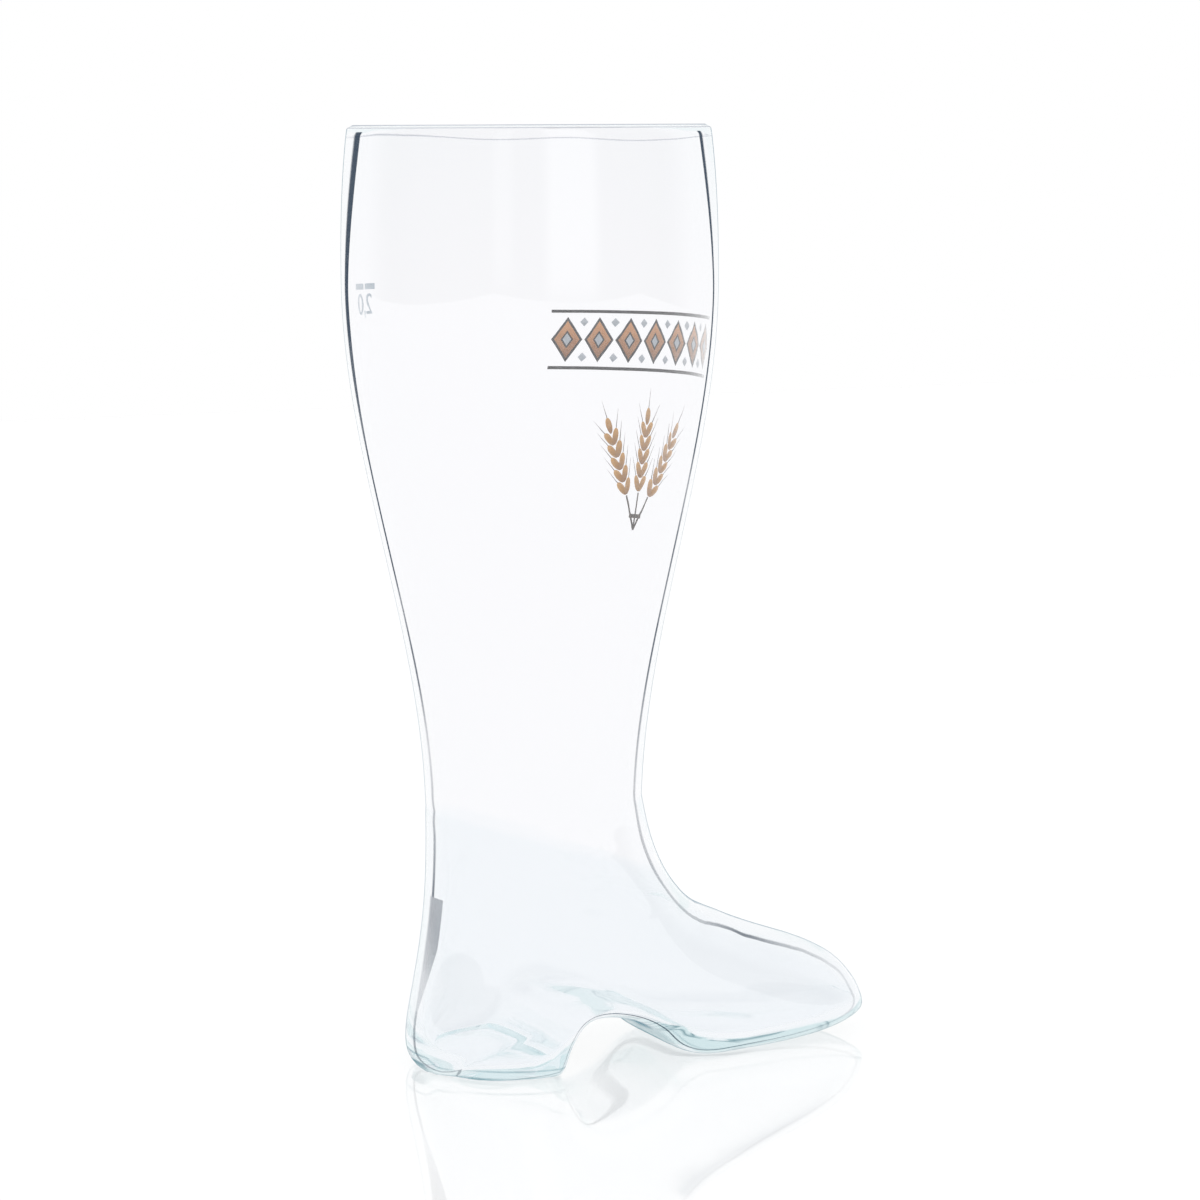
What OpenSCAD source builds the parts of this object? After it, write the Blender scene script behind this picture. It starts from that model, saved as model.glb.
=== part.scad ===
// Beer boot glass: a tall leg tube of clear glass fused to a hollow foot, with a fired enamel print.
// The origin is in the middle of the heel's flat base, at table height. +X points to the toe, +Z up.
// The leg's axis stands straight up, half the heel's reach ahead of the origin. Millimetres.

/* [Leg] */
// Height from the table to the drinking rim
glass_h = 343; // [320:1:380]
// Outer radius just below the rim
rim_r = 65.4; // [62:0.2:68]
// Outer radius at the widest ring of the leg
belly_r = 68.2; // [65:0.2:74]
// Height of the widest ring above the table
belly_z = 288; // [270:1:300]
// Outer radius at the narrow ankle
ankle_r = 39.7; // [36:0.2:43]
// Height of the narrowest ring of the ankle
ankle_z = 92; // [84:1:100]
// Radius of the hollow curve from the ankle on to the instep
instep_fillet_r = 33; // [30:1:45]
// Wall at the ankle
ankle_wall = 2.9; // [2:0.1:4]
// Wall half way up the leg
leg_wall = 1.9; // [1.4:0.1:3]
// Wall at the fire-polished rim
rim_wall = 4.4; // [3:0.1:5.5]
// Height over which the wall thickens up to the rim
rim_zone_h = 62; // [40:1:90]

/* [Fuse joint] */
// Drop of the joint plane below the ankle's narrowest ring, on the leg's axis
joint_drop = 8; // [5:0.5:11]
// Slope of the joint plane, lower at the toe side
joint_tilt = 17; // [10:1:20]

/* [Foot] */
// Reach of the toe in front of the leg's axis
toe_reach = 133; // [120:0.5:150]
// Reach of the heel behind the leg's axis
heel_reach = 48.5; // [45:0.5:55]
// Height of the toe's tip above the table
toe_tip_z = 12.5; // [10:0.5:16]
// Half width of the foot half way down to the heel
waist_half_w = 39; // [36:0.2:42]
// Half width of the heel near the table
heel_half_w = 37; // [34:0.2:40]
// Half width across the ball of the foot
ball_half_w = 37; // [33:0.2:41]
// Half width that the toe tapers to
toe_half_w = 31; // [27:0.2:34]
// Radius by which the sides turn in to the heel, arch and sole
sole_round_r = 22; // [16:0.5:26]
// Radius by which the vamp turns over at the toe
vamp_round_r = 25; // [20:0.5:32]
// Height of the arch under the foot
arch_h = 18; // [13:0.5:22]
// Place of the heel's front face, measured forward from the leg's axis
breast_x = -1; // [-4:0.5:4]
// Distance from the leg's axis to where the ball meets the table
ball_x = 58; // [53:0.5:65]
// Radius by which the heel turns round from its sides to its back
heel_round_r = 34; // [26:0.5:38]
// Wall of the foot's upper
foot_wall = 3.2; // [2.4:0.1:4]
// Wall of the sole and of the heel's base
sole_wall = 4; // [3:0.1:5]

/* [Print] */
// Thickness of the fired enamel
print_t = 0.15; // [0.1:0.01:0.3]
// Azimuth of the print's middle, from the toe's direction
print_az = 20; // [0:1:40]
// Height of the middle of the band of lozenges
band_z = 262; // [250:1:272]
// Lozenges in the band
lozenge_n = 7; // [3:1:9]
// Distance between the lozenges' middles, measured round the leg
lozenge_pitch = 13.2; // [12.6:0.1:16]
// Width of a lozenge with its frame
lozenge_w = 12.4; // [8:0.1:12.5]
// Height of a lozenge with its frame
lozenge_h = 17; // [10:0.5:20]
// Width of the line round each lozenge
frame_w = 1.1; // [0.6:0.1:1.6]
// Thickness of the two rules above and below the band
rule_h = 1.2; // [0.6:0.1:2]
// Gap between a rule and the lozenges' points
rule_gap = 1.6; // [0.6:0.1:3]
// Width of the small square studs between the lozenges
stud_w = 3.4; // [2:0.1:4]
// Height of the foot of the barley sheaf
sheaf_z = 192; // [186:1:200]
// Length of each ear's bare stalk
stalk_l = 15; // [12:0.5:20]
// Thickness of a stalk
stalk_w = 0.9; // [0.6:0.1:1.4]
// Angle between neighbouring ears
ear_spread = 26; // [22:1:32]
// Pairs of grains on each ear
grain_pairs = 5; // [3:1:6]
// Length of one grain
grain_l = 6.4; // [4:0.1:7]
// Width of one grain
grain_w = 2.5; // [1.6:0.1:2.8]
// Width of the two capacity bars, measured round the leg
bar_w = 8.4; // [4:0.1:9]
// Height of the capacity bars
bar_h = 2.5; // [1:0.1:4]
// Height of the capacity bars' middle above the table
bar_z = 285; // [275:0.5:292]
// Azimuth between the two capacity bars, from the toe's direction
bar_az = 134; // [120:1:150]

/* [Hidden] */

// Rows and facets of the leg, points of the rounded rim, points round the foot, steps between stations
leg_rows = 44;
leg_facets = 96;
rim_steps = 10;
round_n = 43;
sub_steps = 2;
// Steps in which the joint's ring is found, and rings over which the wall becomes the foot's
joint_steps = 40;
wall_rings = 6;

function lerp(a, b, t) = a + (b - a) * t;
function blend(t) = t * t * (3 - 2 * t);

// All pieces are laid out round the leg's axis, then moved this far ahead of the origin
leg_ahead = heel_reach / 2;
module ahead() {
    translate([leg_ahead, 0, 0]) children();
}

rim_curve_power = 2.5;
// Leg: outer radius at height z. Above the ankle it swells to the belly and draws in a little to the
// rim; below the ankle a hollow curve runs out, and only its front is kept by the slanted joint.
function leg_r(z) =
    z < ankle_z
        ? ankle_r + instep_fillet_r - sqrt(max(0, pow(instep_fillet_r, 2) - pow(ankle_z - z, 2)))
    : z < belly_z
        ? ankle_r + (belly_r - ankle_r) * blend((z - ankle_z) / (belly_z - ankle_z))
    : belly_r - (belly_r - rim_r) * pow((z - belly_z) / (glass_h - belly_z), rim_curve_power);

mid_z = (ankle_z + belly_z) / 2;
thick_z = glass_h - rim_zone_h;
function leg_wall_at(z) =
    z < ankle_z ? ankle_wall
    : z < mid_z ? lerp(ankle_wall, leg_wall, blend((z - ankle_z) / (mid_z - ankle_z)))
    : z < thick_z ? leg_wall
    : lerp(leg_wall, rim_wall, blend((z - thick_z) / rim_zone_h));

// Joint plane between the leg and the foot
joint_z = ankle_z - joint_drop;
joint_slope = tan(joint_tilt);
low_share = 0.6;
low_z = joint_z - joint_slope * (ankle_r + instep_fillet_r * low_share);

top_z = glass_h - rim_wall / 2;
function row_z(i) = lerp(low_z, top_z, i / leg_rows);
row_parts = 1000;
slope_step = glass_h / row_parts;
function leg_slope(z) = (leg_r(z + slope_step) - leg_r(z - slope_step)) / (2 * slope_step);
out_rows = [for (i = [0:leg_rows]) [row_z(i), leg_r(row_z(i))]];
in_rows = [for (i = [0:leg_rows]) let (z = row_z(i))
    [z, leg_r(z) - leg_wall_at(z) * sqrt(1 + pow(leg_slope(z), 2))]];
function leg_out(z) = lookup(z, out_rows);
function leg_in(z) = lookup(z, in_rows);

// Radius and height at which the joint plane meets the leg at azimuth a, found by repeated steps
function ring_z(a, r) = joint_z - joint_slope * r * cos(a);
function joint_r(a, inner, r = ankle_r, n = joint_steps) =
    n == 0 ? r
    : joint_r(a, inner, inner ? leg_in(ring_z(a, r)) : leg_out(ring_z(a, r)), n - 1);
function joint_point(a, inner) = let (r = joint_r(a, inner)) [r * cos(a), r * sin(a), ring_z(a, r)];
joint_front = joint_point(0, false);
joint_back = joint_point(180, false);

// Foot: stations fan round the instep from the joint to the toe. Each has a point on the instep and
// vamp, and one on the back, heel base, arch or sole.
// Instep and vamp: shares of the way to the toe's tip and of the height above it
top_shares = [[0, 1], [.024, .950], [.044, .912], [.064, .877], [.081, .849], [.096, .826],
    [.108, .809], [.118, .796], [.135, .775], [.153, .755], [.166, .742], [.183, .727], [.207, .708],
    [.247, .680], [.308, .640], [.374, .595], [.451, .548], [.516, .511], [.604, .464], [.692, .416],
    [.791, .350], [.879, .268], [.951, .150], [.989, .044], [1, 0]];
// Back of the heel: shares of the way out to the heel's reach and of the joint's height
back_shares = [[0, 1], [-.03, .81], [.03, .62], [.33, .437], [.74, .27], [1, .125], [.86, .03]];
// Heel base: shares of the way from the heel's reach to its front face, and of the drop under the table
base_shares = [[.17, 1], [.52, 1], [.87, 1]];
// Arch: shares of the way from the heel's front face to the ball and of the arch's height
arch_shares = [[0, .02], [.07, .55], [.155, .92], [.30, 1], [.50, .86], [.67, .58], [.83, .15]];
// Sole: shares of the way from the ball to the toe's tip and of the tip's height
sole_shares = [[0, -.03], [.21, -.03], [.45, 0], [.66, .10], [.83, .30], [.94, .55], [.987, .8],
    [1, 1]];
// Elbow of each section: shares of the way from its low point to its high point, across and up
elbow_shares = [[.5, .5], [.5, .57], [.5, .65], [.48, .74], [.42, .82], [.34, .86], [.21, .78],
    [.09, .42], [.03, .48], [-.03, .55], [-.1, .53], [.01, .47], [.12, .42], [.08, .45], [.04, .48],
    [0, .5], [0, .5], [.05, .5], [.1, .5], [.15, .5], [.25, .5], [.35, .5], [.45, .5], [.5, .5],
    [.5, .5]];

toe_tip = [toe_reach, 0, toe_tip_z];
base_drop = sole_wall / 2;
bottom = concat(
    [for (s = back_shares) [lerp(joint_back[0], -heel_reach, s[0]), joint_back[2] * s[1]]],
    [for (s = base_shares) [lerp(-heel_reach, breast_x, s[0]), -base_drop * s[1]]],
    [for (s = arch_shares) [lerp(breast_x, ball_x, s[0]), arch_h * s[1]]],
    [for (s = sole_shares) [lerp(ball_x, toe_reach, s[0]), toe_tip_z * s[1]]]);
stations = [for (i = [0:len(top_shares) - 1]) let (s = top_shares[i])
    [lerp(joint_front[0], toe_reach, s[0]), lerp(toe_tip[2], joint_front[2], s[1]), bottom[i][0],
        bottom[i][1], elbow_shares[i][0], elbow_shares[i][1]]];
last = len(stations) - 1;

function spline(a, b, c, d, t) =
    (2 * b + (c - a) * t + (2 * a - 5 * b + 4 * c - d) * t * t + (3 * b - a - 3 * c + d) * t * t * t) / 2;
sections = [for (i = [0:last - 1]) for (j = [0:sub_steps - 1])
    spline(stations[max(0, i - 1)], stations[i], stations[i + 1], stations[min(last, i + 2)],
        j / sub_steps)];

// Outlines seen from the side: instep with the leg's front above it, back, and heel base to toe
heel_station = 6;
above = [for (i = [3:-1:1]) joint_front[2] + i * joint_drop];
top_path = concat([for (z = above) [leg_r(z), z]], [for (s = sections) [s[0], s[1]]]);
back_path = concat([[-ankle_r, mid_z]],
    [for (i = [0:(heel_station + 1) * sub_steps]) [sections[i][2], sections[i][3]]]);
sole_path = concat([for (i = [heel_station * sub_steps:len(sections) - 1])
    [sections[i][2], sections[i][3]]], [[toe_reach, toe_tip_z]]);
function segment_distance(p, a, b) =
    let (ab = b - a, t = (p - a) * ab / max(ab * ab, pow(slope_step, 4)))
    norm(p - a - ab * min(1, max(0, t)));
function distance(p, path) =
    min([for (i = [0:len(path) - 2]) segment_distance(p, path[i], path[i + 1])]);

// Round-over by distance d from an outline: 0 on it, 1 at radius r and further in
function round_over(d, r, power) = pow(1 - pow(1 - min(1, d / r), power), 1 / power);

// The sides turn in to a flat arch and sole, and more roundly under the toe
side_power = 5;
toe_power = 2.6;
// Smooth least of three round-overs
sharpness = 5;
function least(v) = pow(pow(v[0], -sharpness) + pow(v[1], -sharpness) + pow(v[2], -sharpness) - 2,
    -1 / sharpness);

// Half width of the foot at side-view place p
joint_side = joint_r(90, false);
function between(v, low, high) = min(1, max(0, (v - low) / (high - low)));
function half_width(p) =
    let (heel_w = lookup(p[1], [[0, heel_half_w], [joint_z / 2, waist_half_w], [joint_z, joint_side]]),
         ball_w = lerp(ball_half_w, toe_half_w, pow(between(p[0], ball_x, toe_reach), 2)),
         w = lerp(heel_w, ball_w, blend(between(p[0], breast_x, ball_x))),
         back_r = lerp(heel_round_r, joint_side, between(p[1], 0, joint_z)),
         square = lerp(side_power, toe_power, between(p[0], ball_x - sole_round_r / 2, toe_reach)))
    w * least([round_over(distance(p, top_path), vamp_round_r, 2),
        round_over(distance(p, back_path), back_r, 2),
        round_over(distance(p, sole_path), sole_round_r, square)]);

// Point of section s at angle a: 0 on the instep, 180 on the sole. The heel and the ball are
// flattened where they stand on the table.
function section_point(s, a) =
    let (top = [s[0], s[1]], low = [s[2], s[3]],
         elbow = [lerp(low[0], top[0], s[4]), lerp(low[1], top[1], s[5])],
         q = (1 + cos(a)) / 2,
         p = low * pow(1 - q, 2) + elbow * 2 * q * (1 - q) + top * q * q)
    [p[0], sign(sin(a)) * half_width(p), max(0, p[1])];

angles = [for (k = [0:round_n - 1]) 360 * k / round_n];
outer_rings = concat([[for (a = angles) joint_point(a, false)]],
    [for (i = [1:len(sections) - 1]) [for (a = angles) section_point(sections[i], a)]]);
ring_n = len(outer_rings);

// The inner skin lies one wall in from the outer skin, square to it
function skin_point(i, k) = i >= ring_n ? toe_tip : outer_rings[i][(k + round_n) % round_n];
function unit(v) = v / norm(v);
function inward(i, k) =
    unit(cross(skin_point(i, k + 1) - skin_point(i, k - 1), skin_point(i + 1, k) - skin_point(i - 1, k)));
function foot_wall_at(i, up) =
    lerp(ankle_wall, lerp(foot_wall, sole_wall, max(0, up)), min(1, i / wall_rings));
inner_rings = concat([[for (a = angles) joint_point(a, true)]],
    [for (i = [1:ring_n - 1]) [for (k = [0:round_n - 1])
        let (n = inward(i, k)) skin_point(i, k) + n * foot_wall_at(i, n[2])]]);

// Triangles between neighbouring rings, with the rings' first point at index base
function skin_faces(base, inner) = [for (i = [0:ring_n - 2]) for (k = [0:round_n - 1])
    let (a = base + i * round_n + k, b = base + i * round_n + (k + 1) % round_n, c = b + round_n,
         d = a + round_n)
    each (inner ? [[a, c, b], [a, d, c]] : [[a, b, c], [a, c, d]])];
function cap_faces(base, inner) = [for (k = [0:round_n - 1])
    let (row = base + (ring_n - 1) * round_n, a = row + k, b = row + (k + 1) % round_n,
         t = base + ring_n * round_n)
    inner ? [a, t, b] : [a, b, t]];

module foot_shell() {
    inner_base = ring_n * round_n + 1;
    points = concat([for (r = outer_rings) each r], [toe_tip],
        [for (r = inner_rings) each r], [toe_tip - [foot_wall, 0, 0]]);
    joint_faces = [for (k = [0:round_n - 1]) let (a = k, b = (k + 1) % round_n)
        each [[a, inner_base + b, b], [a, inner_base + a, inner_base + b]]];
    color([0.80, 0.88, 0.92, 0.5]) ahead()
        polyhedron(points, concat(skin_faces(0, false), cap_faces(0, false),
            skin_faces(inner_base, true), cap_faces(inner_base, true), joint_faces));
}

module leg_tube() {
    rim_out = leg_out(top_z);
    rim_in = leg_in(top_z);
    rim_mid = (rim_out + rim_in) / 2;
    profile = concat([for (p = out_rows) [p[1], p[0]]],
        [for (i = [1:rim_steps - 1]) let (a = 180 * i / rim_steps)
            [rim_mid + (rim_out - rim_in) / 2 * cos(a), top_z + rim_wall / 2 * sin(a)]],
        [for (i = [leg_rows:-1:0]) [in_rows[i][1], in_rows[i][0]]]);
    below = glass_h;
    color([0.88, 0.92, 0.95, 0.5]) ahead() difference() {
        rotate_extrude($fn = leg_facets) polygon(profile);
        translate([0, 0, joint_z]) rotate([0, joint_tilt, 0])
            translate([-below / 2, -below / 2, -below]) cube(below);
    }
}

// Enamel: a skin on the leg from height z0 to z1, cut to the outline of what is printed
module enamel(z0, z1) {
    heights = concat([z0], [for (p = out_rows) if (p[0] > z0 && p[0] < z1) p[0]], [z1]);
    intersection() {
        rotate_extrude($fn = leg_facets) polygon(concat([for (z = heights) [leg_out(z), z]],
            [for (i = [len(heights) - 1:-1:0]) [leg_out(heights[i]) + print_t, heights[i]]]));
        children();
    }
}
// Stands an outline on the leg at distance u round it and height z, turned by t
function round_angle(u, z) = u / leg_out(z) * 180 / PI;
module printed(u, z, t = 0) {
    rotate([0, 0, print_az + round_angle(u, z)]) translate([ankle_r / 2, 0, z]) rotate([90, 0, 90])
        rotate([0, 0, t]) linear_extrude(belly_r) children();
}
module rule(z, h, span) {
    half = round_angle(span / 2, z);
    rotate([0, 0, print_az - half]) rotate_extrude(angle = 2 * half, $fn = leg_facets)
        polygon([[leg_out(z), z], [leg_out(z) + print_t, z],
            [leg_out(z + h) + print_t, z + h], [leg_out(z + h), z + h]]);
}

band_span = lozenge_n * lozenge_pitch;
band_low = band_z - lozenge_h / 2;
band_high = band_z + lozenge_h / 2;
function lozenge_u(i) = (i - (lozenge_n - 1) / 2) * lozenge_pitch;
function lozenge_points(w, h) = [[-w / 2, 0], [0, -h / 2], [w / 2, 0], [0, h / 2]];
frame_h = frame_w * lozenge_h / lozenge_w;

module print_lozenges() {
    color([0.78, 0.47, 0.22]) ahead() enamel(band_low, band_high)
        for (i = [0:lozenge_n - 1]) printed(lozenge_u(i), band_z)
            polygon(lozenge_points(lozenge_w - 2 * frame_w, lozenge_h - 2 * frame_h));
}
module print_frames() {
    color([0.10, 0.09, 0.10]) ahead() {
        enamel(band_low, band_high) for (i = [0:lozenge_n - 1]) printed(lozenge_u(i), band_z)
            difference() {
                polygon(lozenge_points(lozenge_w, lozenge_h));
                polygon(lozenge_points(lozenge_w - 2 * frame_w, lozenge_h - 2 * frame_h));
            }
        rule(band_high + rule_gap, rule_h, band_span);
        rule(band_low - rule_gap - rule_h, rule_h, band_span);
    }
}
stud_place_share = 0.55;
module print_studs() {
    place = lozenge_h / 2 - stud_w * stud_place_share;
    color([0.62, 0.64, 0.68]) ahead() enamel(band_low, band_high)
        for (i = [0:lozenge_n - 2]) for (side = [-1, 1])
            printed((lozenge_u(i) + lozenge_u(i + 1)) / 2, band_z + side * place)
                polygon(lozenge_points(stud_w, stud_w));
}

// Barley sheaf: ears on stalks that fan out from one foot
ear_n = 3;
ear_turns = [for (i = [0:ear_n - 1]) (i - (ear_n - 1) / 2) * ear_spread];
grain_step_share = 0.78;
grain_side_share = 0.62;
grain_point_share = 0.12;
grain_turn = 24;
grain_points_n = 10;
grain_step = grain_l * grain_step_share;
ear_l = grain_pairs * grain_step;
function ear_place(turn, along, side) =
    [-along * sin(turn) + side * cos(turn), along * cos(turn) + side * sin(turn)];
function grain_points() = [for (i = [0:grain_points_n - 1]) let (a = 360 * i / grain_points_n)
    [grain_w / 2 * sin(a), grain_l / 2 * cos(a) * (1 - grain_point_share * cos(a))]];
sheaf_top = sheaf_z + stalk_l + ear_l + grain_l * 2;
module print_grains() {
    side = grain_w * grain_side_share;
    color([0.83, 0.62, 0.30]) ahead() enamel(sheaf_z, sheaf_top)
        for (turn = ear_turns) for (j = [0:grain_pairs]) for (hand = j == grain_pairs ? [0] : [-1, 1])
            let (p = ear_place(turn, stalk_l + grain_step * (j + 0.5), hand * side))
                printed(p[0], sheaf_z + p[1], turn - hand * grain_turn) polygon(grain_points());
}
bare_stalk_share = 0.92;
tie_place_share = 0.34;
tie_w_share = 7;
tie_h_share = 1.6;
module print_stalks() {
    bare_l = stalk_l * bare_stalk_share;
    color([0.22, 0.13, 0.08]) ahead() enamel(sheaf_z - stalk_w, sheaf_z + stalk_l) {
        for (turn = ear_turns) let (p = ear_place(turn, bare_l / 2, 0))
            printed(p[0], sheaf_z + p[1], turn) square([stalk_w, bare_l], center = true);
        printed(0, sheaf_z + stalk_l * tie_place_share)
            square([stalk_w * tie_w_share, stalk_w * tie_h_share], center = true);
    }
}

bar_pitch_share = 1.22;
module capacity_bars() {
    pitch = bar_w * bar_pitch_share;
    turn = bar_az - print_az;
    color([0.74, 0.79, 0.84]) ahead() rotate([0, 0, turn]) enamel(bar_z - bar_h, bar_z + bar_h)
        for (side = [-1, 1]) printed(side * pitch / 2, bar_z) square([bar_w, bar_h], center = true);
}

leg_tube();
foot_shell();
print_lozenges();
print_frames();
print_studs();
print_grains();
print_stalks();
capacity_bars();
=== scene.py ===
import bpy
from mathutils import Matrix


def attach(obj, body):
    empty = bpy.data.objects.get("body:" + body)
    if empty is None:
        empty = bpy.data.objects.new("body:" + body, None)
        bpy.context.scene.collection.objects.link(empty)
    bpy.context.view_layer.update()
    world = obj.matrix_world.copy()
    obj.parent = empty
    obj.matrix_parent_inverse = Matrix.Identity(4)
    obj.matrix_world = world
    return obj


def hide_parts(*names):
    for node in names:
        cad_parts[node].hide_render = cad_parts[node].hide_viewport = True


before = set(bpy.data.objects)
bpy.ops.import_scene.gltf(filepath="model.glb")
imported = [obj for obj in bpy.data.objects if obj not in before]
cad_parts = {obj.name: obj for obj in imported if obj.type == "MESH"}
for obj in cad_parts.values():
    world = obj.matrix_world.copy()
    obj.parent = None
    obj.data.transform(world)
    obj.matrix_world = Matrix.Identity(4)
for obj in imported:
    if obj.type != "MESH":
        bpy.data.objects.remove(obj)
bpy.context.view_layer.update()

import math

import bmesh
import bpy
import numpy as np
from mathutils import Matrix, Vector

mm = 0.001
scene = bpy.context.scene
scene.view_settings.view_transform = "Standard"


# Small helpers for node trees and meshes

def operators(kind):
    # what value + other and other + value do
    return lambda a, b: maths(kind, a, b), lambda a, b: maths(kind, b, a)


class Field:
    # an output of a node; arithmetic with it adds maths nodes to its tree
    __add__, __radd__ = operators("ADD")
    __sub__, __rsub__ = operators("SUBTRACT")
    __mul__, __rmul__ = operators("MULTIPLY")
    __truediv__, __rtruediv__ = operators("DIVIDE")
    __lt__ = operators("LESS_THAN")[0]
    __gt__ = operators("GREATER_THAN")[0]

    def __init__(self, socket):
        self.socket = socket
        self.tree = socket.id_data

    def __abs__(self):
        return maths("ABSOLUTE", self)


def setInputs(node, inputs):
    # links outputs to a node's inputs, and sets plain values
    for key, value in inputs.items():
        if isinstance(value, Field):
            value.tree.links.new(value.socket, node.inputs[key])
        else:
            node.inputs[key].default_value = value
    return node


def addNode(tree, kind, inputs=None, **settings):
    node = tree.nodes.new(kind)
    for key, value in settings.items():
        setattr(node, key, value)
    return setInputs(node, inputs or {})


def put(tree, kind, inputs=None, output=0, family="ShaderNode", **settings):
    # adds a node and gives one of its outputs
    return Field(addNode(tree, family + kind, inputs, **settings).outputs[output])


def putShape(tree, kind, inputs=None, output=0, **settings):
    return put(tree, kind, inputs, output, "GeometryNode", **settings)


def outputsOf(node):
    return {socket.name: Field(socket) for socket in node.outputs}


def newTree(name, kind, inputs, outputs):
    # a node group with its inputs and its end
    tree = bpy.data.node_groups.new(name, kind)
    for label, socket, value in inputs:
        made = tree.interface.new_socket(label, in_out="INPUT", socket_type="NodeSocket" + socket)
        if value is not None:
            made.default_value = value
    for label, socket in outputs:
        tree.interface.new_socket(label, in_out="OUTPUT", socket_type="NodeSocket" + socket)
    return tree, outputsOf(addNode(tree, "NodeGroupInput")), addNode(tree, "NodeGroupOutput")


def newShapeTree(name, *groups):
    # a geometry tree whose inputs are given as a kind and its names
    shape = ("Geometry", "Geometry")
    inputs = [(label, kind, None) for kind, *labels in (shape, *groups) for label in labels]
    return newTree(name, "GeometryNodeTree", inputs, [shape])


def maths(operation, *values):
    tree = next(value.tree for value in values if isinstance(value, Field))
    return put(tree, "Math", dict(enumerate(values)), operation=operation)


def turnApart(a, b):
    return abs(maths("WRAP", a - b, math.pi, -math.pi))


def split(vector):
    return [Field(socket) for socket in addNode(vector.tree, "ShaderNodeSeparateXYZ", {0: vector}).outputs]


def join(tree, x=0.0, y=0.0, z=0.0):
    return put(tree, "CombineXYZ", {0: x, 1: y, 2: z})


def ramp(value, start, end, low=0.0, high=1.0, soft=False):
    # low up to start and high from end on; start may be the larger of the two
    return put(value.tree, "MapRange", {
        "Value": value, "From Min": start, "From Max": end, "To Min": low, "To Max": high},
        interpolation_type="SMOOTHSTEP" if soft else "LINEAR")


def noise(vector, scale, **inputs):
    return put(vector.tree, "TexNoise", {"Vector": vector, "Scale": scale, **inputs})


def stretch(vector, scale):
    return put(vector.tree, "Mapping", {"Vector": vector, "Scale": scale})


def attribute(tree, name):
    return put(tree, "Attribute", None, "Fac", attribute_name=name)


def asColour(value):
    return value if isinstance(value, Field) else (*value, 1)


def mixNumbers(share, a, b):
    return put(share.tree, "Mix", {0: share, 2: a, 3: b}, data_type="FLOAT")


def mixColours(share, a, b):
    return put(share.tree, "Mix", {0: share, 6: asColour(a), 7: asColour(b)}, 2, data_type="RGBA")


def mixShaders(share, a, b):
    return put(share.tree, "MixShader", {0: share, 1: a, 2: b})


def emission(tree, colour, strength=1.0):
    return put(tree, "Emission", {"Color": asColour(colour), "Strength": strength})


def act(geometry, kind, inputs=None, **settings):
    # passes geometry through one more node
    return putShape(geometry.tree, kind, {0: geometry, **(inputs or {})}, **settings)


def mergeParts(first, second, distance):
    both = addNode(first.tree, "GeometryNodeJoinGeometry")
    for part in (first, second):
        setInputs(both, {0: part})
    return act(Field(both.outputs[0]), "MergeByDistance", {"Distance": distance})


def closeTree(end, geometry, material=None):
    geometry = act(geometry, "RealizeInstances")
    if material:
        geometry = act(geometry, "SetMaterial", {"Material": material})
    setInputs(end, {0: geometry})


def useTree(piece, tree, **values):
    # an input such as "Rim Wave" takes the value given as rimWave
    modifier = piece.modifiers.new(tree.name, "NODES")
    modifier.node_group = tree
    for item in tree.interface.items_tree:
        key = item.name.replace(" ", "")
        key = key[0].lower() + key[1:]
        if item.item_type == "SOCKET" and item.in_out == "INPUT" and key in values:
            modifier[item.identifier] = values[key]


def bakeTrees(piece):
    # turns the evaluated result into a plain mesh and drops the modifiers
    scene.view_layers[0].update()
    graph = bpy.context.evaluated_depsgraph_get()
    mesh = bpy.data.meshes.new_from_object(piece.evaluated_get(graph), depsgraph=graph)
    piece.modifiers.clear()
    piece.data = mesh
    return piece


def newPiece(name, data):
    piece = bpy.data.objects.new(name, data)
    scene.collection.objects.link(piece)
    return piece


def makePiece(name, verts, faces):
    mesh = bpy.data.meshes.new(name)
    mesh.from_pydata([tuple(v) for v in verts], [], [tuple(f) for f in faces])
    mesh.validate()
    mesh.shade_smooth()
    return newPiece(name, mesh)


def setAttribute(mesh, name, values):
    mesh.attributes.new(name, "FLOAT", "POINT").data.foreach_set("value", np.asarray(values, np.float32))


def blend(t):
    t = np.clip(t, 0, 1)
    return t * t * (3 - 2 * t)


def lerp(a, b, t):
    return a + (b - a) * t


# The glass: leg and foot are one clear wall, so one piece stands for both

glass = {
    "height": 343, "rimRadius": 65.4, "bellyRadius": 68.16, "bellyHeight": 288,
    "ankleRadius": 39.7, "ankleHeight": 92, "instepFillet": 33, "rimCurve": 2.5,
    "ankleWall": 2.9, "legWall": 1.9, "rimWall": 4.4, "rimZone": 62,
    "jointDrop": 8, "jointTilt": 17,
    "toeReach": 133, "heelReach": 48.5, "toeTipHeight": 12.5,
    "waistHalf": 39, "heelHalf": 37, "ballHalf": 37, "toeHalf": 31,
    "soleRound": 22, "vampRound": 25, "heelRound": 34, "sidePower": 5, "toePower": 2.6,
    "archHeight": 18, "breastPlace": -1, "ballPlace": 58,
    "footWall": 3.2, "soleWall": 4, "wallRings": 3,
    "around": 176, "stationSteps": 6, "legRows": 86, "rimRows": 14,
    "seamHeight": 104, "seamRows": 12,
    "jointRidge": 0.16, "jointWidth": 2.4, "jointWobble": 3.0, "wobbleTurn": 112,
    "ridgeFrom": 0.75, "ridgeSoft": 0.6, "cornerPower": 5,
    "evenOuter": 60, "evenInner": 12, "foldRounds": 140, "foldHeight": 66, "foldZone": 24,
    "leastWall": 0.55, "footTangent": 0.915,
    "ripple": 0.16, "rippleSize": 24, "rippleStretch": 0.22, "rimWave": 1.8, "rimReach": 7,
    "weld": 0.02, "seed": 4,
}
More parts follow.
